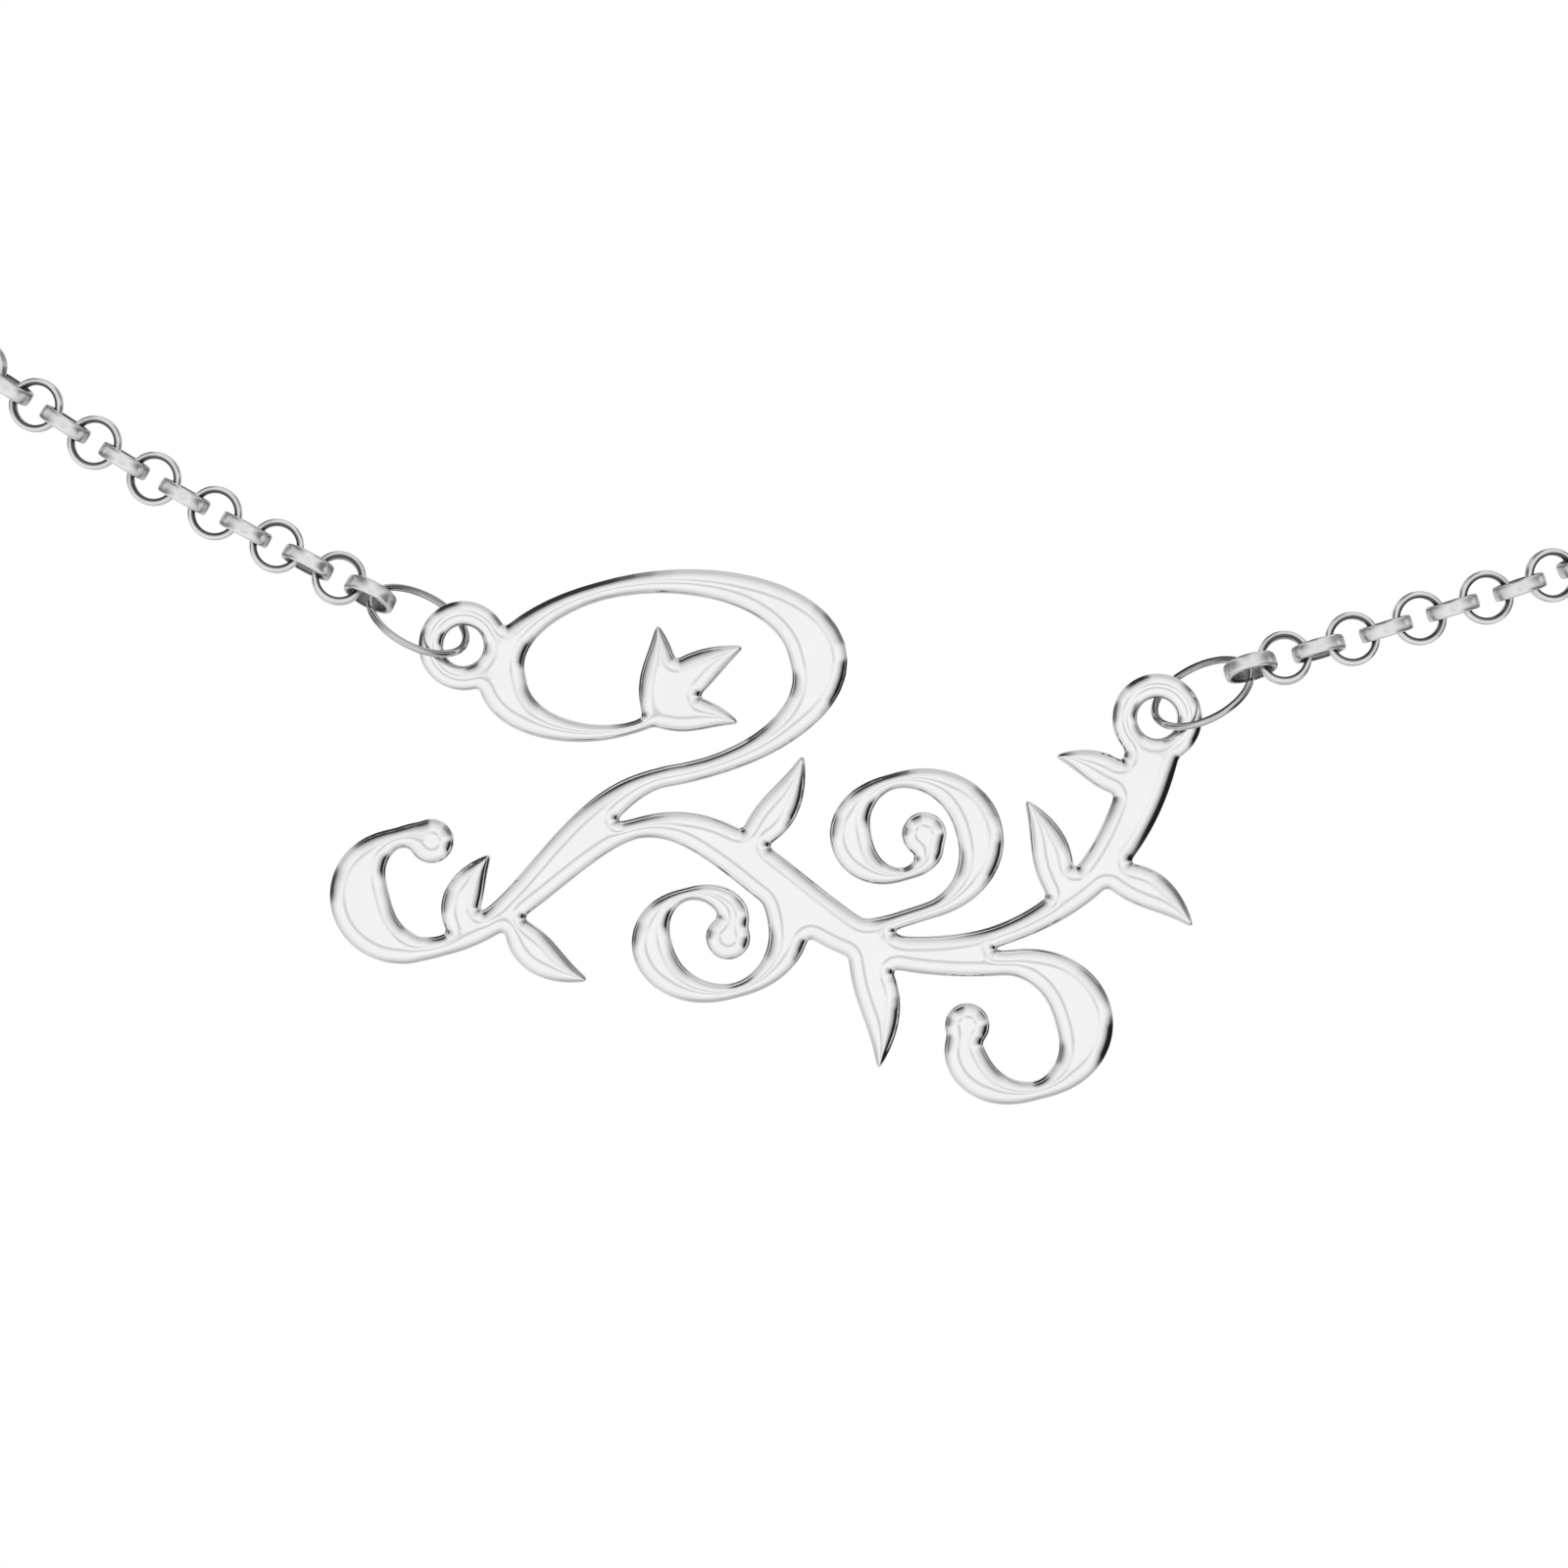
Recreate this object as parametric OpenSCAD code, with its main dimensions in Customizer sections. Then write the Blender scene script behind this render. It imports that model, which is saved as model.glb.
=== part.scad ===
// Nameplate necklace, in millimetres, as worn.
// The origin is where it sits on the back of the neck, +Z is up and -Y is the front.

/* [Plate] */
// Width of the plate, from its left tail to the rim of its right eyelet
plate_w = 38; // [34:1:44]
// Height of the plate
plate_h = 23.4; // [21:0.2:27]
// Thickness of the plate
plate_t = 1.1; // [0.8:0.1:1.5]
// Width of a stroke where it is widest
stroke_w = 2.6; // [2:0.1:2.8]
// Width of a stroke where it is thinnest
hairline_w = 0.9; // [0.6:0.05:1]
// Angle of the level strokes, which are the thin ones, in degrees
hairline_slope = 15; // [5:1:25]
// Diameter of the balls at the ends of the curls
ball_d = 1.95; // [1.6:0.05:2.4]
// Length of the longest leaf
leaf_l = 6.2; // [5.2:0.1:7]
// Width of the widest leaf
leaf_w = 1.9; // [1.5:0.1:2.3]

/* [Eyelets] */
// Outer diameter of an eyelet
eyelet_d = 3.9; // [3.6:0.1:4.2]
// Diameter of an eyelet's hole
eyelet_hole_d = 1.8; // [1.7:0.05:2]

/* [Jump rings] */
// Outer diameter of a jump ring
ring_d = 4.85; // [4.6:0.05:5.4]
// Diameter of its wire
ring_wire_d = 0.32; // [0.26:0.02:0.36]
// Angle by which a jump ring is turned out of the plate's plane, in degrees
ring_turn = 60; // [56:1:64]
// Angle at which a jump ring rises from its eyelet, in degrees
ring_rise = 29; // [26:1:33]

/* [Chain] */
// Outer diameter of a link
link_d = 2.38; // [2.34:0.01:2.42]
// Thickness of a link's band, from its hole to its rim
link_band = 0.32; // [0.26:0.01:0.34]
// Width of a link's band, along its hole
link_w = 0.66; // [0.5:0.02:0.7]
// Longest distance from one link's centre to the next
link_pitch = 1.54; // [1.48:0.01:1.54]
// Gap between a jump ring's wire and the hole of the chain's first link, where they meet when pulled tight
ring_play = 0.6; // [0.5:0.02:0.7]
// Gap between the clasp's wire and the hole of the chain's last link, where they meet when pulled tight
end_play = 0.25; // [0.2:0.01:0.28]
// Angle by which the link at a jump ring is turned to meet it, in degrees
end_twist = 16; // [14:1:36]

/* [Loop] */
// Width of the whole loop
loop_w = 114; // [106:1:130]
// Depth of the loop, from the back of the neck to the plate
loop_depth = 112; // [106:1:130]
// Height from the plate's middle to the back of the neck
loop_drop = 62; // [56:1:74]

/* [Clasp] */
// Outer diameter of the clasp's ring
clasp_d = 5.5; // [5:0.1:6.5]
// Diameter of the clasp's wire
clasp_wire_d = 0.8; // [0.6:0.05:0.85]
// Outer diameter of the eye soldered to the clasp
clasp_eye_d = 2.4; // [2.3:0.05:2.8]
// Diameter of the eye's wire
clasp_eye_wire_d = 0.5; // [0.4:0.05:0.55]
// How far the clasp's eye and ring run into each other
clasp_solder = 0.3; // [0.2:0.05:0.4]

/* [Hidden] */

// Points along each part of a stroke, along one side of a leaf and between two chosen points of a route
STROKE_STEPS = 56;
LEAF_STEPS = 12;
ROUTE_STEPS = 32;
$fn = 48;
// A small step along a curve, which gives its direction there
STEP = 0.01;
// How far a cut runs past a face
PAST = 1;

// Sides of the necklace, and which way across it each one lies
LEFT = 0;
RIGHT = 1;
ACROSS = [-1, 1];

half_w = plate_w / 2;
half_h = plate_h / 2;

// How sharply a stroke swells as it turns upright
SWELL = 1.5;
// How far a leaf's widest place is drawn to its foot, where 1 leaves it halfway
LEAF_DRAW = 0.8;

// The vine starts at the left tail, runs as a wave to its second trough and rises from it to an eyelet.
// All points of the ornament are shares of the plate's half-width and half-height, from its middle.
VINE_START = [-0.8, -0.41];
VINE_WAVE = 1.12;
VINE_RISE = 0.46;
// How far the rise runs level out of the trough, and how it runs into the eyelet
RISE_OUT = [0.36, 0];
RISE_IN = [0.03, 0.5];

// The left tail: its radius as a share of the plate's half-height, how far it curls, and its size at the ball
TAIL_RADIUS = 0.24;
TAIL_SWEEP = 200;
TAIL_CORE = 0.72;

// Curls that branch off the vine. Foot is where, across the plate. Core, weight and size are shares of the
// curl's own size, of the stroke's width and of the plate. A high ease closes the curl only near its core.
CURL_FOOT = 0;
CURL_CENTRE = 1;
CURL_SIZE = 2;
CURL_TILT = 3;
CURL_START = 4;
CURL_TURNS = 5;
CURL_CORE = 6;
CURL_EASE = 7;
CURL_WEIGHT = 8;
CURL_BALL = 9;
CURLS = [
    // foot, centre, half-size, tilt, start angle, turns, core, ease, weight, ball
    [-0.62, [-0.28, 0.6], [0.41, 0.375], 6, -85, 1, 0.42, 3, 1, false],
    [-0.24, [-0.13, -0.34], [0.2, 0.29], 0, 58, -1.22, 0.25, 1.2, 0.75, true],
    [0.14, [0.32, 0.0], [0.19, 0.28], 0, -75, 1.25, 0.25, 1.3, 0.8, true],
    [0.16, [0.57, -0.73], [0.18, 0.27], 0, 95, -0.8, 0.6, 1.4, 1, true]
];
// Length of the handles of a curl's stalk, as a share of the distance that it spans
STALK_HANDLE = 0.33;
// How much a curl's stroke thins at its core, and how near the core it does so
TAPER = 0.45;
TAPER_LATE = 4;

// Leaves. Angle is off the heading of the stroke that a leaf springs from, length and width are shares of
// the longest and widest leaf, bend is a share of the leaf's own length, and foot is how far along the vine.
LEAF_ANGLE = 0;
LEAF_LENGTH = 1;
LEAF_WIDTH = 2;
LEAF_BEND = 3;
LEAF_FOOT = 4;
LEAVES = [
    // angle, length, width, bend, foot
    [46, 0.68, 0.9, 0.1, 0.29],
    [-76, 0.77, 0.9, -0.12, 0.345],
    [88, 0.86, 0.9, -0.1, 0.575],
    [-50, 1, 1, 0.12, 0.69],
    [72, 0.81, 0.9, -0.1, 0.85],
    [-76, 0.81, 0.9, 0.12, 0.885],
    [84, 0.68, 0.8, -0.1, 0.945]
];
// Leaves that spring from the core of the first curl, so many of its points before its end
SPRAY_BACK = 2;
SPRAY = [
    // angle, length, width, bend
    [14, 0.9, 1, 0.08],
    [60, 0.72, 0.85, -0.08],
    [-24, 0.68, 0.8, 0.1]
];

// Middle of the left and of the right eyelet
EYELETS = [[-0.69, 0.72], [0.9, 0.45]];

// The chain's route on each side, from past the jump ring round to the clasp. Each point is how far across,
// back and up, as shares of half the loop's width, of its depth and of its drop.
ROUTES = [
    [[0.47, 0.002, 0.255], [0.62, 0.012, 0.345], [0.79, 0.06, 0.465], [0.93, 0.17, 0.6], [0.99, 0.33, 0.725],
        [0.98, 0.56, 0.85], [0.84, 0.8, 0.95], [0.53, 0.95, 0.995], [0.23, 0.994, 1]],
    [[0.5, 0.002, 0.155], [0.65, 0.012, 0.205], [0.81, 0.06, 0.305], [0.94, 0.17, 0.455], [0.99, 0.33, 0.625],
        [0.98, 0.56, 0.81], [0.84, 0.8, 0.94], [0.53, 0.95, 0.995], [0.23, 0.994, 1]]
];
// Slope of the chain where it leaves the jump ring, in degrees
CHAIN_RISE = [25, 14];
// Distance from either end of the route to the point past it that sets its direction there
LEAD = 6;
// Links over which the twist at a jump ring fades out
TWIST_LINKS = 4;

link_hole_r = link_d / 2 - link_band;
link_mid_r = (link_d - link_band) / 2;
// Height of the chain's middle off the neck, on which its links and its clasp lie
off_neck = link_d / 2;

// The clasp's ring and eye lie side by side on the neck, and the middle of the two is above the origin
clasp_ring_x = (clasp_eye_d - clasp_solder) / 2;
clasp_eye_x = (clasp_solder - clasp_d) / 2;

function on_plate(share) = [share[0] * half_w, share[1] * half_h];
function turned(p, angle) = [p[0] * cos(angle) - p[1] * sin(angle), p[0] * sin(angle) + p[1] * cos(angle)];
function unit(v) = v / norm(v);
function beside(d) = [-d[1], d[0]];
function heading(points, i) = unit(points[min(i + 1, len(points) - 1)] - points[max(i - 1, 0)]);
function reversed(points) = [for (i = [len(points) - 1:-1:0]) points[i]];
function cubic(p, t) =
    pow(1 - t, 3) * p[0] + 3 * pow(1 - t, 2) * t * p[1] + 3 * (1 - t) * t * t * p[2] + pow(t, 3) * p[3];

// A stroke is thin where it runs level and wide where it runs up or down
function stroke_width(d) =
    hairline_w + (stroke_w - hairline_w) * pow(abs(turned(d, -hairline_slope)[1]), SWELL);

function vine_point(x) =
    let(from = on_plate(VINE_START))
    [x, from[1] + VINE_RISE * half_h / 2 * (1 - cos(360 * (x - from[0]) / (VINE_WAVE * half_w)))];

// The left tail leaves the vine's start level, curls up and back over itself and closes as it goes
function tail_points() =
    let(end = on_plate(VINE_START))
    let(hub = end + [0, TAIL_RADIUS * half_h])
    [for (i = [1:STROKE_STEPS])
        let(t = i / STROKE_STEPS)
        hub + turned((end - hub) * (1 - (1 - TAIL_CORE) * t), -TAIL_SWEEP * t)];

// The whole vine, from the ball of its tail to the right eyelet
function vine_points() =
    let(from = on_plate(VINE_START)[0])
    let(run = VINE_WAVE * half_w)
    let(trough = vine_point(from + run))
    let(eyelet = on_plate(EYELETS[RIGHT]))
    let(rise = [trough, trough + on_plate(RISE_OUT), eyelet - on_plate(RISE_IN), eyelet])
    concat(
        reversed(tail_points()),
        [for (i = [0:2 * STROKE_STEPS]) vine_point(from + run * i / (2 * STROKE_STEPS))],
        [for (i = [1:STROKE_STEPS]) cubic(rise, i / STROKE_STEPS)]
    );

function curl_point(c, t) =
    let(angle = c[CURL_START] + 360 * c[CURL_TURNS] * t)
    let(size = on_plate(c[CURL_SIZE]) * (1 - (1 - c[CURL_CORE]) * pow(t, c[CURL_EASE])))
    on_plate(c[CURL_CENTRE]) + turned([size[0] * cos(angle), size[1] * sin(angle)], c[CURL_TILT]);

// A curl's stalk starts on the vine, runs along it and swings over to the curl's own outer end
function curl_points(c) =
    let(foot = vine_point(c[CURL_FOOT] * half_w))
    let(start = curl_point(c, 0))
    let(reach = STALK_HANDLE * norm(start - foot))
    let(out = unit(vine_point(foot[0] + STEP) - foot))
    let(in = unit(curl_point(c, STEP) - start))
    let(stalk = [foot, foot + reach * out, start - reach * in, start])
    concat(
        [for (i = [0:2:STROKE_STEPS - 1]) cubic(stalk, i / STROKE_STEPS)],
        [for (i = [0:STROKE_STEPS]) curl_point(c, i / STROKE_STEPS)]
    );

module stroke(points, weight = 1, taper = 0) {
    last = len(points) - 1;
    function thinned(i) = 1 - taper * pow(i / last, TAPER_LATE);
    function half(i) = weight * thinned(i) * stroke_width(heading(points, i)) / 2;
    left = [for (i = [0:last]) points[i] + half(i) * beside(heading(points, i))];
    right = [for (i = [last:-1:0]) points[i] - half(i) * beside(heading(points, i))];
    polygon(concat(left, right));
}

module ball(points) {
    translate(points[len(points) - 1]) circle(d = ball_d);
}

module vine() {
    stroke(vine_points());
    ball(tail_points());
}

module curl(c) {
    points = curl_points(c);
    stroke(points, c[CURL_WEIGHT], TAPER);
    if (c[CURL_BALL]) ball(points);
}

// A leaf springs from one point of a stroke and tapers to a sharp tip
module leaf(points, foot, shape) {
    d = heading(points, foot);
    length = leaf_l * shape[LEAF_LENGTH];
    width = leaf_w * shape[LEAF_WIDTH];
    bend = 4 * shape[LEAF_BEND];
    spine = [for (i = [0:LEAF_STEPS]) let(t = i / LEAF_STEPS) length * [t, bend * t * (1 - t)]];
    function half(i) = width / 2 * sin(180 * pow(i / LEAF_STEPS, LEAF_DRAW));
    left = [for (i = [0:LEAF_STEPS]) spine[i] + half(i) * beside(heading(spine, i))];
    right = [for (i = [LEAF_STEPS - 1:-1:1]) spine[i] - half(i) * beside(heading(spine, i))];
    translate(points[foot]) rotate(atan2(d[1], d[0]) + shape[LEAF_ANGLE]) polygon(concat(left, right));
}

module ornament() {
    vine_line = vine_points();
    core = curl_points(CURLS[0]);
    vine();
    for (c = CURLS) curl(c);
    for (l = LEAVES) leaf(vine_line, round(l[LEAF_FOOT] * (len(vine_line) - 1)), l);
    for (l = SPRAY) leaf(core, len(core) - SPRAY_BACK, l);
}

module nameplate() {
    color("silver")
    translate([0, -loop_depth + plate_t / 2, -loop_drop])
    rotate([90, 0, 0])
    difference() {
        union() {
            linear_extrude(plate_t) ornament();
            for (e = EYELETS) translate(on_plate(e)) cylinder(d = eyelet_d, h = plate_t);
        }
        for (e = EYELETS)
            translate([each on_plate(e), -PAST]) cylinder(d = eyelet_hole_d, h = plate_t + 2 * PAST);
    }
}

// Puts its child's X along one direction and its Z along another that is square to it
module place(centre, x, z) {
    y = cross(z, x);
    multmatrix([
        [x[0], y[0], z[0], centre[0]],
        [x[1], y[1], z[1], centre[1]],
        [x[2], y[2], z[2], centre[2]],
        [0, 0, 0, 1]
    ]) children();
}

module ring(d, wire) {
    rotate_extrude() translate([(d - wire) / 2, 0]) circle(d = wire);
}

function eyelet_middle(side) =
    let(e = on_plate(EYELETS[side]))
    [e[0], -loop_depth, e[1] - loop_drop];

// Direction away from the plate on one side, at an angle above level
function rising(side, angle) = [ACROSS[side] * cos(angle), 0, sin(angle)];

// A jump ring passes through its eyelet's middle and stands turned out of the plate's plane
module jump_ring(side) {
    x = rising(side, ring_rise);
    z = cos(ring_turn) * [0, 1, 0] + sin(ring_turn) * ACROSS[side] * cross([0, 1, 0], x);
    color("silver")
    place(eyelet_middle(side) + (ring_d - ring_wire_d) / 2 * x, x, z)
    ring(ring_d, ring_wire_d);
}

module jump_ring_left() { jump_ring(LEFT); }

module jump_ring_right() { jump_ring(RIGHT); }

// Distance from the middle of an end link to the middle of the wire that passes through it
function hold(wire, play) = link_hole_r - play - wire / 2;

function route_start(side) =
    eyelet_middle(side) + (ring_d - ring_wire_d) * rising(side, ring_rise)
    + hold(ring_wire_d, ring_play) * rising(side, CHAIN_RISE[side]);

function route_end(side) = side == LEFT
    ? [clasp_eye_x - (clasp_eye_d - clasp_eye_wire_d) / 2 - hold(clasp_eye_wire_d, end_play), off_neck, 0]
    : [clasp_ring_x + (clasp_d - clasp_wire_d) / 2 + hold(clasp_wire_d, end_play), off_neck, 0];

function on_loop(side, share) = [
    ACROSS[side] * share[0] * loop_w / 2,
    off_neck - (1 - share[1]) * (loop_depth + off_neck),
    (share[2] - 1) * loop_drop
];

function route_knots(side) = concat(
    [route_start(side) - LEAD * rising(side, CHAIN_RISE[side]), route_start(side)],
    [for (share = ROUTES[side]) on_loop(side, share)],
    [route_end(side), route_end(side) - [ACROSS[side] * LEAD, 0, 0]]
);

// A smooth curve from the second to the third of four points
function between(p, t) =
    let(first = p[2] - p[0])
    let(second = 2 * p[0] - 5 * p[1] + 4 * p[2] - p[3])
    let(third = 3 * (p[1] - p[2]) + p[3] - p[0])
    p[1] + t / 2 * (first + t * (second + t * third));

function route(side) =
    let(knots = route_knots(side))
    concat(
        [for (k = [1:len(knots) - 3], i = [0:ROUTE_STEPS - 1])
            between([for (j = [-1:2]) knots[k + j]], i / ROUTE_STEPS)],
        [route_end(side)]
    );

// How far along the route each of its points is
function lengths(points) = [for (
    i = 0, far = 0;
    i < len(points);
    i = i + 1, far = i < len(points) ? far + norm(points[i] - points[i - 1]) : 0
) far];

// The last link on either end stands edge-on, so a chain has an odd number of links
function link_count(route_length) = 1 + 2 * ceil(route_length / link_pitch / 2);

module link() {
    rotate_extrude()
    translate([link_mid_r, 0]) {
        square([link_band, link_w - link_band], center = true);
        for (z = [-1, 1]) translate([0, z * (link_w - link_band) / 2]) circle(d = link_band);
    }
}

// Links stand edge-on and lie face-on in turn, and those near the jump ring are twisted to meet it
module chain(side) {
    points = route(side);
    far = lengths(points);
    whole = far[len(far) - 1];
    last = link_count(whole) - 1;
    function at(s) = [for (k = [0:2]) lookup(s, [for (i = [0:len(points) - 1]) [far[i], points[i][k]]])];
    centres = [for (i = [0:last]) at(whole * i / last)];
    color("silver")
    for (i = [0:last]) {
        t = heading(centres, i);
        outward = unit(cross(t, [0, 0, ACROSS[side]]));
        fade = max(0, 1 - i / TWIST_LINKS);
        turn = (i % 2 == 0 ? 90 : 0) - ACROSS[side] * end_twist * fade;
        place(centres[i], t, cos(turn) * outward + sin(turn) * cross(t, outward)) link();
    }
}

module chain_left() { chain(LEFT); }

module chain_right() { chain(RIGHT); }

module clasp() {
    color("silver") {
        translate([clasp_ring_x, off_neck, 0]) rotate([90, 0, 0]) ring(clasp_d, clasp_wire_d);
        translate([clasp_eye_x, off_neck, 0]) rotate([90, 0, 0]) ring(clasp_eye_d, clasp_eye_wire_d);
    }
}

nameplate();
jump_ring_left();
jump_ring_right();
chain_left();
chain_right();
clasp();
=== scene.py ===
import math

import bpy
import numpy as np
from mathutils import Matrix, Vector
from mathutils.geometry import delaunay_2d_cdt
from mathutils.kdtree import KDTree


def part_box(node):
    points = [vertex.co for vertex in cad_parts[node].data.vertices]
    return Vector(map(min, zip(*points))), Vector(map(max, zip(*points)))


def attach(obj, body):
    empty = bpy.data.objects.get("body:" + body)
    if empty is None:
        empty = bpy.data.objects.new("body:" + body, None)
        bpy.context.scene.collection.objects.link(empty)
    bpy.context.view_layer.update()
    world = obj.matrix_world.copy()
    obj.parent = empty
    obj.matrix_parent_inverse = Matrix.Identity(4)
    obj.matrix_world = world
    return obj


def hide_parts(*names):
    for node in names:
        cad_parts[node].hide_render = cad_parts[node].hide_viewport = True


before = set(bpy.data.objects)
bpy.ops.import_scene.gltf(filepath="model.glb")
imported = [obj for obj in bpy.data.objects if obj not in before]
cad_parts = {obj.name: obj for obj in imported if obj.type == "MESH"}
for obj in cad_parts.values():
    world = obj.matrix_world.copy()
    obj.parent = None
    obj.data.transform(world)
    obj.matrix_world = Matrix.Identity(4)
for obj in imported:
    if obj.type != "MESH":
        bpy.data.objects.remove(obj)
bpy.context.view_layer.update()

# Lengths are in millimetres until a mesh is made
MM = 0.001
# Points of a CAD node that are nearer than this are one point
WELD = 0.0005

# The camera's view: the point at the middle of the picture, the distance and the width of what it shows
LOOK_AT = (0.85, -112.0, -59.6)
CAMERA_FAR = 300.0
VIEW_WIDTH = 68.3
SENSOR = 36.0
# Nothing nearer to the camera is drawn, in metres
CLIP = 0.01

# The floor's reach across and from front to back, and its height
FLOOR_ACROSS = (-900, 900)
FLOOR_ALONG = (-960, 400)
FLOOR_HEIGHT = -165
# Its look: a pale grey that glows a little
FLOOR_LOOK = {"Base Color": (0.86, 0.86, 0.86, 1), "Roughness": 0.6}
FLOOR_GLOW = {"Emission Color": (1, 1, 1, 1), "Emission Strength": 0.3}

# The soft light, in metres and watts: where it is, where it points, its side and its power
LIGHT_AT = (0.1, -0.35, 0.6)
LIGHT_TO = (0, -0.06, -0.03)
LIGHT_SIDE = 0.5
LIGHT_POWER = 0.6

# The studio that the metal reflects is a tent: light ahead of the object, where the camera is, and grey
# behind it. How far ahead a direction points goes from -1 to 1, which is straight at the camera, and how
# high it is as seen from there goes from -1 to 1 too.
TENT_LIGHT = 0.955
# The grey behind the object, low down and high up, and the heights between which it changes
GREY = (0.48, 0.6)
HEIGHTS = (-0.1, 0.6)
# How far ahead the grey ends, low down, and how much further it ends high up or in a flag
GREY_END = -0.1
GREY_END_MORE = 0.38
# How far ahead the full light starts, how much further for a flag and for height, and at most
LIGHT_START = 0.72
LIGHT_START_MORE = 0.2
LIGHT_START_MOST = 0.98
# The dark flags, seen from the front: each one's middle in degrees from the right round by the top, how far
# to its sides it starts and is full, and how dark it is
FLAGS = ((-17, 28, 8, 1.0), (33, 25, 5, 0.65), (115, 24, 6, 0.9), (171, 20, 5, 0.8))
# What the darkest flag leaves of the grey
FLAG_LEAVES = 0.03
# The grey ends further ahead in a dark flag: from the first darkness to the second, by this much to that
FLAG_REACHES = (0.8, 1.0, 0.0, 0.2)
# The part of the grey that is a little lighter, given as a flag is
LIGHTER = (225, 40, 10, 0.2)
# The faint dark ring round the camera: how far ahead its outer side starts and is full, the same for its
# inner side, how dark it is, and how much less so in a flag
RING_OUTSIDE = (0.925, 0.968)
RING_INSIDE = (0.997, 0.985)
RING_DARK = 0.3
RING_LESS = 0.26
# The light patch straight behind the object: how far behind it starts and is full, and how light it is
BACK_PATCH = (0.8, 0.98, 0.0, 0.7)
# The least distance of a direction from straight ahead or behind
LEAST_OFF_AXIS = 0.001

# Each kind of silver: its tone, its roughness, its marks a metre, what is left of the tone near a hole as
# painted shade, and how much of it is metal
PLATE_SILVER = {"tone": 0.95, "rough": 0.07, "grain": 5000}
CHAIN_SILVER = {"tone": 0.9, "rough": 0.18, "grain": 9000, "painted_shade_share": 0.12, "metallic": 0.75}
WIRE_SILVER = {"tone": 0.66, "rough": 0.1, "grain": 9000, "painted_shade_share": 0.5}
# Haze in patches, the values of it between which the metal gets duller and darker, and how much in the end
HAZE = {"Scale": 420, "Detail": 4, "Roughness": 0.55}
HAZE_DULLS = (0.35, 0.75)
HAZE_DULLEST = 1.7
HAZE_DARKENS = (0.3, 0.8)
HAZE_DARKEST = 0.965
# Polishing marks: how they are stretched and turned, how deep they are, and how much they dull the metal
MARKS_STRETCH = (1, 1, 7)
MARKS_TURN = (0, math.radians(24), 0)
MARKS_DETAIL = 3
MARKS_DEPTH = {"Strength": 0.012, "Distance": 0.00002}
MARKS_DULL = (0.5, 0.8, 0.0, 0.03)
# Unevenness of the surface
SWELL = {"Scale": 260, "Detail": 1}
SWELL_DEPTH = {"Strength": 0.05, "Distance": 0.0002}
# Painted shade near a ring's hole: how near to the hole the tone starts to sink and has sunk, and, as painted
# light, where and how much it rises again in the hole
HOLE_DARKENS = (0.4, 0.7)
HOLE_LIGHTENS = (0.92, 1.0, 0.0, 0.35)

# The grid on which the plate's outline is softened, how far from the outline it reaches and how soft it gets
GRID = 0.06
REACH = 0.75
SOFTEN = 0.1

# The plate's rounded edges: how far in they go at most and how deep
FRONT_EDGE = (0.74, 0.42)
BACK_EDGE = (0.16, 0.16)
# Shares of the way in at which there are points
FRONT_SHARES = (0.02, 0.06, 0.12, 0.2, 0.3, 0.42, 0.55, 0.7, 0.85, 1, 1.12)
BACK_SHARES = (0.2, 0.5, 1)
# The eyelets' edges are only so deep, as a share, as far as the first distance from their middles
EYELET_DEPTH = 0.8
EYELET_REACH = (1.98, 2.6)

# Points along the outline: how far apart they are at most, the turn between them at most, and the step at
# which the line is eased
OUTLINE_SPACING = 0.08
OUTLINE_TURN = 0.2
FINE = 0.03
# How often a line is eased before and after it gets that step, and how often the edge's width is
EASE_FIRST = 3
EASE_FINE = 4
EASE_WIDTH = 12
# An outline with no more points than this is left out
SHORTEST = 20
# A point set in from the rim counts as nearest to its own part of it down to this share of how deep it is
NEAREST = 0.985
# How much the radius of a round hole may vary
ROUND = 0.05
# Smallest values: a side's length squared, a distance that isn't zero, and how near points of the face may be
LEAST_SQUARE = 1e-12
LEAST_DISTANCE = 1e-9
LEAST_GAP = 1e-6

# Points round a ring and round its section, and the section's roundness: 2 is an ellipse and more is squarer
BAND_LINK = (44, 16, 3.4)
WIRE_RING = (144, 24, 2.0)
# Any direction that isn't a ring's axis
ASKEW = (0.3, 0.5, 0.8)

# Attribute of the rings' points that tells how near they are to the hole, where painted shade darkens the
# tone
HOLE_SHADE_ATTRIBUTE = "painted_hole_shade"


def shell(node):
    """A CAD node's points, in mm, and its triangles, with points that coincide made one."""
    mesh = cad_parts[node].data
    mesh.calc_loop_triangles()
    points = np.empty(3 * len(mesh.vertices), np.float32)
    mesh.vertices.foreach_get("co", points)
    faces = np.empty(3 * len(mesh.loop_triangles), np.int32)
    mesh.loop_triangles.foreach_get("vertices", faces)
    points = points.reshape(-1, 3).astype(float) / MM
    _, first, same = np.unique(np.round(points / WELD), axis=0, return_index=True, return_inverse=True)
    faces = same.reshape(-1)[faces].reshape(-1, 3)
    return points[first], faces


def make_piece(name, points, faces, node, normals=None):
    """A smooth mesh from points in mm that stands for a CAD node."""
    mesh = bpy.data.meshes.new(name)
    mesh.from_pydata((np.asarray(points) * MM).tolist(), [], np.asarray(faces).tolist())
    mesh.polygons.foreach_set("use_smooth", [True] * len(mesh.polygons))
    if normals is not None:
        mesh.normals_split_custom_set_from_vertices(normals.tolist())
    mesh.update()
    piece = bpy.data.objects.new(name, mesh)
    bpy.context.scene.collection.objects.link(piece)
    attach(piece, "root")
    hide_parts(node)
    return piece


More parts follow.
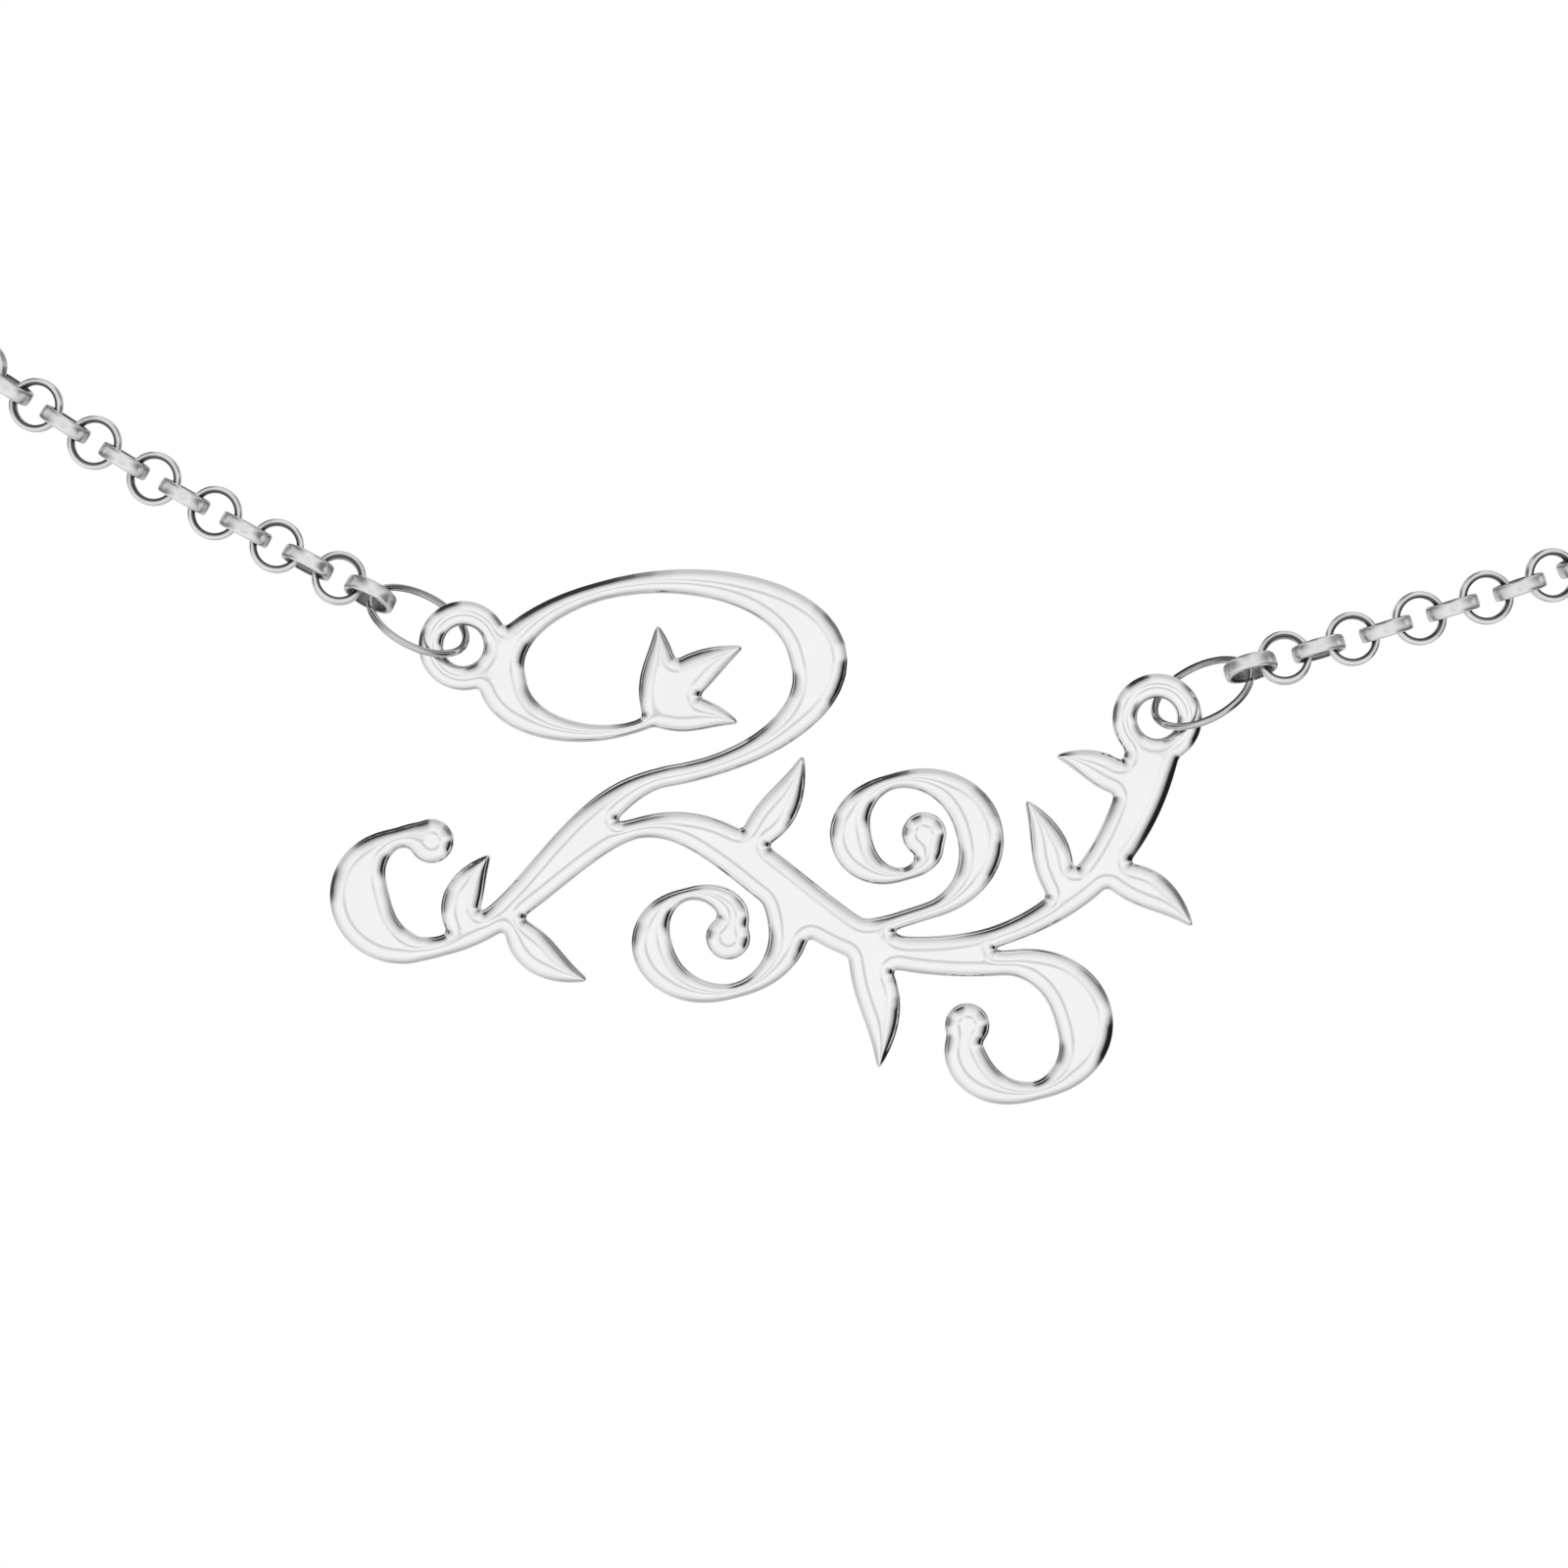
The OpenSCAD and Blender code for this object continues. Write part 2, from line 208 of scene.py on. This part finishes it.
def outlines(node):
    """The closed outlines of a plate's front, as points across and up, with the metal on their left."""
    points, faces = shell(node)
    front = points[:, 1] < points[:, 1].min() + WELD
    cap = faces[front[faces].all(axis=1)]
    sides = np.concatenate([cap[:, [0, 1]], cap[:, [1, 2]], cap[:, [2, 0]]])
    directed = set(map(tuple, sides.tolist()))
    after = {a: b for a, b in directed if (b, a) not in directed}
    return [points[loop][:, [0, 2]] for loop in linked(after)]


def linked(after):
    """Closed loops from a table of what comes after each point."""
    loops = []
    while after:
        start = at = next(iter(after))
        loop = []
        while at in after:
            loop.append(at)
            at = after.pop(at)
        if at == start:
            loops.append(loop)
    return loops


def signed_distance(loops, origin, shape):
    """Distance to the loops on a grid, positive inside them and cut off at REACH."""
    near = np.full(shape, REACH)
    flips = np.zeros((shape[0], shape[1] + 1), int)
    xs = origin[0] + GRID * np.arange(shape[0])
    zs = origin[1] + GRID * np.arange(shape[1])
    for loop in loops:
        for a, b in zip(loop, np.roll(loop, -1, axis=0)):
            lo = np.floor((np.minimum(a, b) - REACH - origin) / GRID).astype(int).clip(0)
            hi = np.ceil((np.maximum(a, b) + REACH - origin) / GRID).astype(int) + 1
            x = xs[lo[0]:hi[0], None] - a[0]
            z = zs[None, lo[1]:hi[1]] - a[1]
            along = b - a
            t = ((x * along[0] + z * along[1]) / max(along @ along, LEAST_SQUARE)).clip(0, 1)
            part = near[lo[0]:hi[0], lo[1]:hi[1]]
            np.minimum(part, np.hypot(x - t * along[0], z - t * along[1]), out=part)
            first, last = np.searchsorted(xs, sorted((a[0], b[0])))
            for i in range(first, last):
                cross = a[1] + (xs[i] - a[0]) / along[0] * along[1]
                flips[i, np.searchsorted(zs, cross)] += 1
    inside = np.cumsum(flips[:, :-1], axis=1) % 2 == 1
    return np.where(inside, near, -near)


def blurred(grid, sigma):
    """The grid under a Gaussian of that width in mm."""
    reach = int(3 * sigma / GRID) + 1
    steps = np.arange(-reach, reach + 1)
    weights = np.exp(-0.5 * (steps * GRID / sigma) ** 2)
    weights /= weights.sum()
    for axis in (0, 1):
        grid = sum(w * np.roll(grid, s, axis=axis) for s, w in zip(steps, weights))
    return grid


def crossings():
    """For each set of a cell's corners that are inside, its contour's parts as pairs of the cell's sides."""
    table = []
    for code in range(16):
        inside = [code >> k & 1 for k in range(4)]
        parts = []
        for k in range(4):
            if inside[k] and not inside[(k + 1) % 4]:
                m = (k - 1) % 4
                while inside[m] or not inside[(m + 1) % 4]:
                    m = (m - 1) % 4
                parts.append((k, m))
        table.append(parts)
    return table


def contours(grid, origin):
    """The closed lines on which the grid is zero, with more on their left."""
    v = grid.copy()
    v[v == 0] = LEAST_DISTANCE
    inside = (v > 0).astype(int)
    code = inside[:-1, :-1] + 2 * inside[1:, :-1] + 4 * inside[1:, 1:] + 8 * inside[:-1, 1:]
    high = grid.shape[1]
    after = {}
    for kind, parts in enumerate(crossings()):
        i, j = np.nonzero(code == kind)
        cell = 2 * (i * high + j)
        keys = [cell, cell + 2 * high + 1, cell + 2, cell + 1]
        for start, end in parts:
            after.update(zip(keys[start].tolist(), keys[end].tolist()))
    loops = []
    for loop in linked(after):
        key = np.array(loop)
        i, j, up = key // 2 // high, key // 2 % high, key % 2
        here = v[i, j]
        there = v[i + 1 - up, j + up]
        t = here / (here - there)
        across, along = i + (1 - up) * t, j + up * t
        loops.append(np.stack([origin[0] + GRID * across, origin[1] + GRID * along], axis=1))
    return loops


def evenly(line, pace):
    """A closed line again, with its points at equal steps of the pace given for each of its sides."""
    closed = np.vstack([line, line[:1]])
    far = np.concatenate([[0], np.cumsum(pace)])
    at = np.arange(round(far[-1])) * far[-1] / round(far[-1])
    return np.stack([np.interp(at, far, closed[:, k]) for k in (0, 1)], axis=1)


def eased(line, times):
    """A closed line, or values round one, each made more like its neighbours, so many times over."""
    for _ in range(times):
        line = (np.roll(line, 1, axis=0) + 2 * line + np.roll(line, -1, axis=0)) / 4
    return line


def resampled(line):
    """A closed line with smooth bends and its points evenly spaced, or closer together where it turns."""
    line = eased(line, EASE_FIRST)
    line = eased(evenly(line, np.hypot(*(np.roll(line, -1, axis=0) - line).T) / FINE), EASE_FINE)
    side = np.roll(line, -1, axis=0) - line
    angle = np.arctan2(side[:, 1], side[:, 0])
    turn = np.abs((np.roll(angle, -1) - angle + np.pi) % (2 * np.pi) - np.pi)
    turn = (turn + np.roll(turn, 1)) / 2
    return evenly(line, np.hypot(*side.T) / OUTLINE_SPACING + turn / OUTLINE_TURN)


def inward(line):
    """The direction to the left of a closed line at each of its points."""
    along = np.roll(line, -1, axis=0) - np.roll(line, 1, axis=0)
    way = np.stack([-along[:, 1], along[:, 0]], axis=1)
    return way / np.linalg.norm(way, axis=1)[:, None]


def widths(rim, way, tree, most):
    """How far a rounded edge reaches in at each point of the rim: to a stroke's middle, or so far at most."""
    radius = np.full(len(rim), most)
    while True:
        centre = rim + radius[:, None] * way
        found = [tree.find((x, z, 0))[1:] for x, z in centre.tolist()]
        gap = rim[[k for k, _ in found]] - rim
        ahead = (gap * way).sum(axis=1)
        closer = (np.array([far for _, far in found]) < NEAREST * radius) & (ahead > 0)
        if not closer.any():
            return radius
        radius[closer] = (gap[closer] ** 2).sum(axis=1) / ahead[closer] / 2


def face_of_plate(rim, way, follows, tree, width, most, shares):
    """Triangles over the metal inside the rim, through copies of it that are set in by shares of the width.
    A copy's point is left out where another part of the rim is nearer. Also gives each point's share."""
    count = len(rim)
    points, feet, far = [rim], [np.arange(count)], [np.zeros(count)]
    sides = [np.stack([np.arange(count), follows], axis=1)]
    for share in shares:
        depth = share * width
        moved = rim + depth[:, None] * way
        clear = np.array([tree.find((x, z, 0))[2] for x, z in moved.tolist()]) > NEAREST * depth
        if share >= 1:
            clear &= width > NEAREST * most
        number = np.where(clear, sum(map(len, points)) + np.cumsum(clear) - 1, -1)
        side = np.stack([number, number[follows]], axis=1)
        sides.append(side[side.min(axis=1) >= 0])
        points.append(moved[clear])
        feet.append(np.nonzero(clear)[0])
        far.append(np.full(clear.sum(), share))
    points, feet, far = np.concatenate(points), np.concatenate(feet), np.concatenate(far)
    corners = [Vector(p) for p in points.tolist()]
    made = delaunay_2d_cdt(corners, np.concatenate(sides).tolist(), [], 0, LEAST_GAP, True)
    at = np.array([tuple(p) for p in made[0]])
    foot = np.empty(len(at), int)
    share = np.empty(len(at))
    number = {}
    for k, old in enumerate(made[3]):
        if old:
            foot[k], share[k] = feet[old[0]], far[old[0]]
            number.update(dict.fromkeys(old, k))
        else:
            _, foot[k], depth = tree.find((*at[k], 0))
            share[k] = depth / width[foot[k]]
    faces = np.array(made[2])
    a, b, c = (at[faces[:, k]] for k in range(3))
    turn = (b[:, 0] - a[:, 0]) * (c[:, 1] - a[:, 1]) - (b[:, 1] - a[:, 1]) * (c[:, 0] - a[:, 0])
    faces[turn < 0] = faces[turn < 0][:, ::-1]
    border = {frozenset(edge) for edge, old in zip(made[1], made[4]) if old and min(old) < count}
    edge_of_rim = np.array([number[k] for k in range(count)])
    return at, share, foot, faces[inside_border(faces, border, edge_of_rim, follows)], edge_of_rim


def inside_border(faces, border, rim, follows):
    """Which triangles can be reached from the left of the rim without crossing the border."""
    on_side = {}
    for f, (p, q, r) in enumerate(faces.tolist()):
        on_side[p, q] = on_side[q, r] = on_side[r, p] = f
    found = np.zeros(len(faces), bool)
    stack = [on_side[s] for s in zip(rim.tolist(), rim[follows].tolist()) if s in on_side]
    while stack:
        f = stack.pop()
        if found[f]:
            continue
        found[f] = True
        p, q, r = faces[f].tolist()
        for s in ((q, p), (r, q), (p, r)):
            if s in on_side and frozenset(s) not in border:
                stack.append(on_side[s])
    return found


def eyelet_share(rim, loops):
    """How deep the rounded edge is at each point of the rim, as a share. It is less round the round holes."""
    far = np.full(len(rim), np.inf)
    for loop in loops:
        middle = (loop.max(0) + loop.min(0)) / 2
        if np.ptp(np.hypot(*(loop - middle).T)) < ROUND:
            far = np.minimum(far, np.hypot(*(rim - middle).T))
    return np.interp(far, EYELET_REACH, (EYELET_DEPTH, 1))


def rounded(at, share, way, width, deep, face_y, sign):
    """Points and normals of a face whose edge is rounded. sign is -1 for the front and 1 for the back."""
    u = (1 - share).clip(0, 1)
    rest = np.sqrt(1 - u * u)
    steep = deep * u / width
    points = np.stack([at[:, 0], face_y - sign * deep * (1 - rest), at[:, 1]], axis=1)
    normals = np.stack([-way[:, 0] * steep, sign * rest, -way[:, 1] * steep], axis=1)
    return points, normals / np.linalg.norm(normals, axis=1)[:, None]


def make_plate():
    """The plate, from its CAD outline with softer corners: front, back and the wall between their edges."""
    loops = outlines("nameplate")
    corners = np.concatenate(loops)
    origin = corners.min(0) - 2 * REACH
    shape = tuple(np.ceil((corners.max(0) + 2 * REACH - origin) / GRID).astype(int))
    soft = blurred(signed_distance(loops, origin, shape), SOFTEN)
    lines = [resampled(line) for line in contours(soft, origin) if len(line) > SHORTEST]
    rim = np.concatenate(lines)
    way = np.concatenate([inward(line) for line in lines])
    starts = np.cumsum([0] + [len(line) for line in lines])
    follows = np.concatenate([s + np.roll(np.arange(len(line)), -1) for s, line in zip(starts, lines)])
    tree = KDTree(len(rim))
    for k, (x, z) in enumerate(rim.tolist()):
        tree.insert((x, z, 0), k)
    tree.balance()
    lo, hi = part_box("nameplate")
    shallow = eyelet_share(rim, loops)
    halves = []
    sides = (*FRONT_EDGE, FRONT_SHARES, lo.y, -1), (*BACK_EDGE, BACK_SHARES, hi.y, 1)
    for most, deep, shares, face_y, sign in sides:
        full = widths(rim, way, tree, most)
        width = np.concatenate([eased(part, EASE_WIDTH) for part in np.split(full, starts[1:-1])])
        at, share, foot, faces, edge_of_rim = face_of_plate(rim, way, follows, tree, width, most, shares)
        face = rounded(at, share, way[foot], width[foot], deep * shallow[foot], face_y / MM, sign)
        halves.append((*face, faces[:, ::-sign], edge_of_rim))
    front, back = halves
    near, far = front[3], back[3] + len(front[0])
    next_near, next_far = near[follows], far[follows]
    wall = [np.stack([next_near, near, far], axis=1), np.stack([next_near, far, next_far], axis=1)]
    points, normals = (np.concatenate([front[k], back[k]]) for k in (0, 1))
    faces = np.concatenate([front[2], back[2] + len(front[0]), *wall])
    return make_piece("plate", points, faces, "nameplate", normals)


def loose_rings(node):
    """Each loose ring of a CAD node: its middle, its axis, its outer and inner radius and half its width."""
    points, faces = shell(node)
    label = np.arange(len(points))
    while True:
        low = label[faces].min(axis=1)
        after = label.copy()
        for k in range(3):
            np.minimum.at(after, faces[:, k], low)
        after = after[after]
        if (after == label).all():
            break
        label = after
    rings = []
    for name in np.unique(label):
        part = points[label == name]
        axes = np.linalg.svd(part - part.mean(0), full_matrices=False)[2]
        own = part @ axes.T
        middle = (own.max(0) + own.min(0)) / 2
        far = np.hypot(*(own - middle)[:, :2].T)
        rings.append((middle @ axes, axes[2], far.max(), far.min(), (own.max(0) - own.min(0))[2] / 2))
    return rings


def ring_mesh(ring, around, across, power):
    """A ring with a rounded section: points, four-sided faces and how near each point is to the hole, 0 to 1.
    around and across are the numbers of points, and power is how square the section is."""
    middle, axis, outer, inner, half_width = ring
    u = np.cross(axis, ASKEW)
    u /= np.linalg.norm(u)
    v = np.cross(axis, u)
    a = 2 * np.pi * np.arange(around) / around
    q = 2 * np.pi * np.arange(across) / across
    c, s = np.cos(q), np.sin(q)
    out = np.sign(c) * np.abs(c) ** (2 / power)
    radius = (outer + inner) / 2 + (outer - inner) / 2 * out
    high = half_width * np.sign(s) * np.abs(s) ** (2 / power)
    spoke = np.cos(a)[:, None] * u + np.sin(a)[:, None] * v
    points = middle + spoke[:, None, :] * radius[None, :, None] + high[None, :, None] * axis
    i, j = np.meshgrid(np.arange(around), np.arange(across), indexing="ij")
    i2, j2 = (i + 1) % around, (j + 1) % across
    faces = np.stack([i * across + j, i2 * across + j, i2 * across + j2, i * across + j2], axis=-1)
    return points.reshape(-1, 3), faces.reshape(-1, 4), np.tile((1 - out) / 2, around)


def make_rings(name, node, slot, around, across, power):
    """One smooth mesh for all the rings of a CAD node."""
    points, faces, painted_hole_shade, start = [], [], [], 0
    for ring in loose_rings(node):
        p, f, h = ring_mesh(ring, around, across, power)
        points.append(p)
        faces.append(f + start)
        painted_hole_shade.append(h)
        start += len(p)
    piece = make_piece(name, np.concatenate(points), np.concatenate(faces), node)
    # Painted shade: each point's nearness to the hole, by which the material darkens the tone there
    piece.data.attributes.new(HOLE_SHADE_ATTRIBUTE, "FLOAT", "POINT").data.foreach_set("value", np.concatenate(painted_hole_shade))
    return piece


class Nodes:
    """Short calls for making shader nodes in one tree."""

    def __init__(self, tree):
        self.tree = tree
        tree.nodes.clear()

    def add(self, kind, inputs=(), **settings):
        node = self.tree.nodes.new(kind)
        for key, value in settings.items():
            setattr(node, key, value)
        for key, value in dict(inputs).items():
            if isinstance(value, bpy.types.NodeSocket):
                self.tree.links.new(value, node.inputs[key])
            else:
                node.inputs[key].default_value = value
        return node

    def math(self, operation, a, b=0.0):
        return self.add("ShaderNodeMath", {0: a, 1: b}, operation=operation).outputs[0]

    def ease(self, value, low, high, start=0.0, end=1.0):
        """Goes smoothly from start to end as value goes from low to high."""
        inputs = {"Value": value, "From Min": low, "From Max": high, "To Min": start, "To Max": end}
        node = self.add("ShaderNodeMapRange", inputs, interpolation_type="SMOOTHSTEP")
        return node.outputs["Result"]


def silver(name, tone, rough, grain, painted_shade_share=1.0, metallic=1.0):
    """Polished silver with fine marks, a breath of haze in patches and a little unevenness of its surface.
    Near the hole of a ring its tone is darkened as painted shade, down to the share given, and is lightened a
    little again in the hole as painted light.
    grain is the marks a metre, and what isn't metallic of it is diffuse."""
    material = bpy.data.materials.new(name)
    material.use_nodes = True
    n = Nodes(material.node_tree)
    place = n.add("ShaderNodeTexCoord").outputs["Object"]
    haze = n.add("ShaderNodeTexNoise", {"Vector": place, **HAZE}).outputs[0]
    turned = {"Vector": place, "Scale": MARKS_STRETCH, "Rotation": MARKS_TURN}
    along = n.add("ShaderNodeMapping", turned).outputs[0]
    marks = n.add("ShaderNodeTexNoise", {"Vector": along, "Scale": grain, "Detail": MARKS_DETAIL}).outputs[0]
    swell = n.add("ShaderNodeTexNoise", {"Vector": place, **SWELL}).outputs[0]
    uneven = n.add("ShaderNodeBump", {"Height": swell, **SWELL_DEPTH}).outputs[0]
    scratched = n.add("ShaderNodeBump", {"Height": marks, **MARKS_DEPTH, "Normal": uneven}).outputs[0]
    hazy = n.ease(haze, *HAZE_DULLS, rough, rough * HAZE_DULLEST)
    dull = n.math("ADD", hazy, n.ease(marks, *MARKS_DULL))
    colour = n.add("ShaderNodeValToRGB", {0: haze})
    tones = (tone, tone * HAZE_DARKEST)
    for stop, position, grey in zip(colour.color_ramp.elements, HAZE_DARKENS, tones):
        stop.position = position
        stop.color = (grey, grey, grey, 1)
    # Painted shade darkens the tone towards a ring's hole, and painted light lifts it a little right in the
    # hole
    near_hole = n.add("ShaderNodeAttribute", attribute_name=HOLE_SHADE_ATTRIBUTE).outputs["Fac"]
    darker = n.ease(near_hole, *HOLE_DARKENS, 1.0, painted_shade_share)
    share = n.math("ADD", darker, n.ease(near_hole, *HOLE_LIGHTENS))
    toned = n.add("ShaderNodeVectorMath", {0: colour.outputs[0], "Scale": share}, operation="SCALE")
    shader = n.add("ShaderNodeBsdfPrincipled", {
        "Base Color": toned.outputs[0], "Metallic": metallic, "Roughness": dull, "Normal": scratched})
    n.add("ShaderNodeOutputMaterial", {"Surface": shader.outputs[0]})
    return material


def studio():
    """The tent that the metal reflects, with its flags, ring and patches. The camera sees it as white."""
    world = bpy.data.worlds.new("studio")
    bpy.context.scene.world = world
    world.use_nodes = True
    n = Nodes(world.node_tree)
    way = n.add("ShaderNodeSeparateXYZ", {0: n.add("ShaderNodeTexCoord").outputs["Generated"]})
    x, y, z = way.outputs
    ahead = n.math("MULTIPLY", y, -1.0)
    off_axis = n.math("SQRT", n.math("SUBTRACT", 1.0, n.math("MULTIPLY", y, y)))
    off_axis = n.math("MAXIMUM", off_axis, LEAST_OFF_AXIS)
    side = n.math("DIVIDE", x, off_axis)
    rise = n.math("DIVIDE", z, off_axis)

    def patch(middle, begins, full, share):
        """A share towards a direction in the picture, and none away from it. The angles are in degrees."""
        turn = math.radians(middle)
        over = n.math("MULTIPLY", side, math.cos(turn))
        near = n.math("ADD", over, n.math("MULTIPLY", rise, math.sin(turn)))
        return n.ease(near, math.cos(math.radians(begins)), math.cos(math.radians(full)), 0.0, share)

    flags = patch(*FLAGS[0])
    for flag in FLAGS[1:]:
        flags = n.math("MAXIMUM", flags, patch(*flag))
    top = n.ease(rise, *HEIGHTS)
    grey = n.math("ADD", n.ease(rise, *HEIGHTS, *GREY), patch(*LIGHTER))
    low = n.math("MULTIPLY", grey, n.ease(flags, 0.0, 1.0, 1.0, FLAG_LEAVES))
    start = n.math("MULTIPLY", n.math("MAXIMUM", flags, top), GREY_END_MORE)
    start = n.math("ADD", n.math("ADD", start, GREY_END), n.ease(flags, *FLAG_REACHES))
    end = n.math("MULTIPLY", n.math("ADD", flags, top), LIGHT_START_MORE)
    end = n.math("MINIMUM", n.math("ADD", end, LIGHT_START), LIGHT_START_MOST)
    inputs = {"Value": ahead, "From Min": start, "From Max": end, "To Min": low, "To Max": TENT_LIGHT}
    tent = n.add("ShaderNodeMapRange", inputs, interpolation_type="LINEAR").outputs["Result"]
    ring = n.math("MULTIPLY", n.ease(ahead, *RING_OUTSIDE), n.ease(ahead, *RING_INSIDE))
    dark = n.math("SUBTRACT", RING_DARK, n.math("MULTIPLY", flags, RING_LESS))
    light = n.math("MULTIPLY", tent, n.math("SUBTRACT", 1.0, n.math("MULTIPLY", ring, dark)))
    light = n.math("MAXIMUM", light, n.ease(y, *BACK_PATCH))
    lit = n.add("ShaderNodeBackground", {"Color": light, "Strength": 1.0})
    seen = n.add("ShaderNodeBackground", {"Color": (1, 1, 1, 1), "Strength": 1.0})
    is_camera = n.add("ShaderNodeLightPath").outputs["Is Camera Ray"]
    both = n.add("ShaderNodeMixShader", {0: is_camera, 1: lit.outputs[0], 2: seen.outputs[0]})
    n.add("ShaderNodeOutputWorld", {"Surface": both.outputs[0]})


def make_floor():
    """A plain pale floor, which the metal doesn't mirror."""
    (left, right), (front, back), low = FLOOR_ACROSS, FLOOR_ALONG, FLOOR_HEIGHT
    corners = [(left, front, low), (right, front, low), (right, back, low), (left, back, low)]
    mesh = bpy.data.meshes.new("floor")
    mesh.from_pydata([[c * MM for c in p] for p in corners], [], [(0, 1, 2, 3)])
    floor = bpy.data.objects.new("floor", mesh)
    bpy.context.scene.collection.objects.link(floor)
    material = bpy.data.materials.new("floor")
    material.use_nodes = True
    n = Nodes(material.node_tree)
    shader = n.add("ShaderNodeBsdfPrincipled", {**FLOOR_LOOK, **FLOOR_GLOW})
    n.add("ShaderNodeOutputMaterial", {"Surface": shader.outputs[0]})
    mesh.materials.append(material)
    floor.visible_glossy = False


def make_camera():
    """The camera, level and facing along +Y."""
    camera = bpy.data.objects.new("camera", bpy.data.cameras.new("camera"))
    camera.data.sensor_width = SENSOR
    camera.data.lens = SENSOR * CAMERA_FAR / VIEW_WIDTH
    camera.location = Vector(LOOK_AT) * MM - Vector((0, CAMERA_FAR * MM, 0))
    camera.rotation_euler = (math.radians(90), 0, 0)
    camera.data.clip_start = CLIP
    bpy.context.scene.collection.objects.link(camera)
    bpy.context.scene.camera = camera


def make_light():
    """A soft light from above, which the metal doesn't mirror."""
    light = bpy.data.lights.new("soft_light", "AREA")
    light.energy = LIGHT_POWER
    light.size = LIGHT_SIDE
    lamp = bpy.data.objects.new("soft_light", light)
    lamp.location = LIGHT_AT
    lamp.visible_glossy = False
    lamp.rotation_euler = (Vector(LIGHT_TO) - lamp.location).to_track_quat("-Z", "Y").to_euler()
    bpy.context.scene.collection.objects.link(lamp)


make_camera()
studio()
make_light()
make_floor()
bpy.context.scene.view_settings.view_transform = "Standard"

plate = make_plate()
chain_left = make_rings("left_links", "chain_left", "chain", *BAND_LINK)
chain_right = make_rings("right_links", "chain_right", "chain", *BAND_LINK)
ring_left = make_rings("left_ring", "jump_ring_left", "wire", *WIRE_RING)
ring_right = make_rings("right_ring", "jump_ring_right", "wire", *WIRE_RING)

plate.data.materials.append(silver("plate_silver", **PLATE_SILVER))
link_silver = silver("chain_silver", **CHAIN_SILVER)
wire_silver = silver("wire_silver", **WIRE_SILVER)
for piece in (chain_left, chain_right):
    piece.data.materials.append(link_silver)
for piece in (ring_left, ring_right):
    piece.data.materials.append(wire_silver)
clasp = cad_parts["clasp"]
clasp.data.materials.clear()
clasp.data.materials.append(wire_silver)
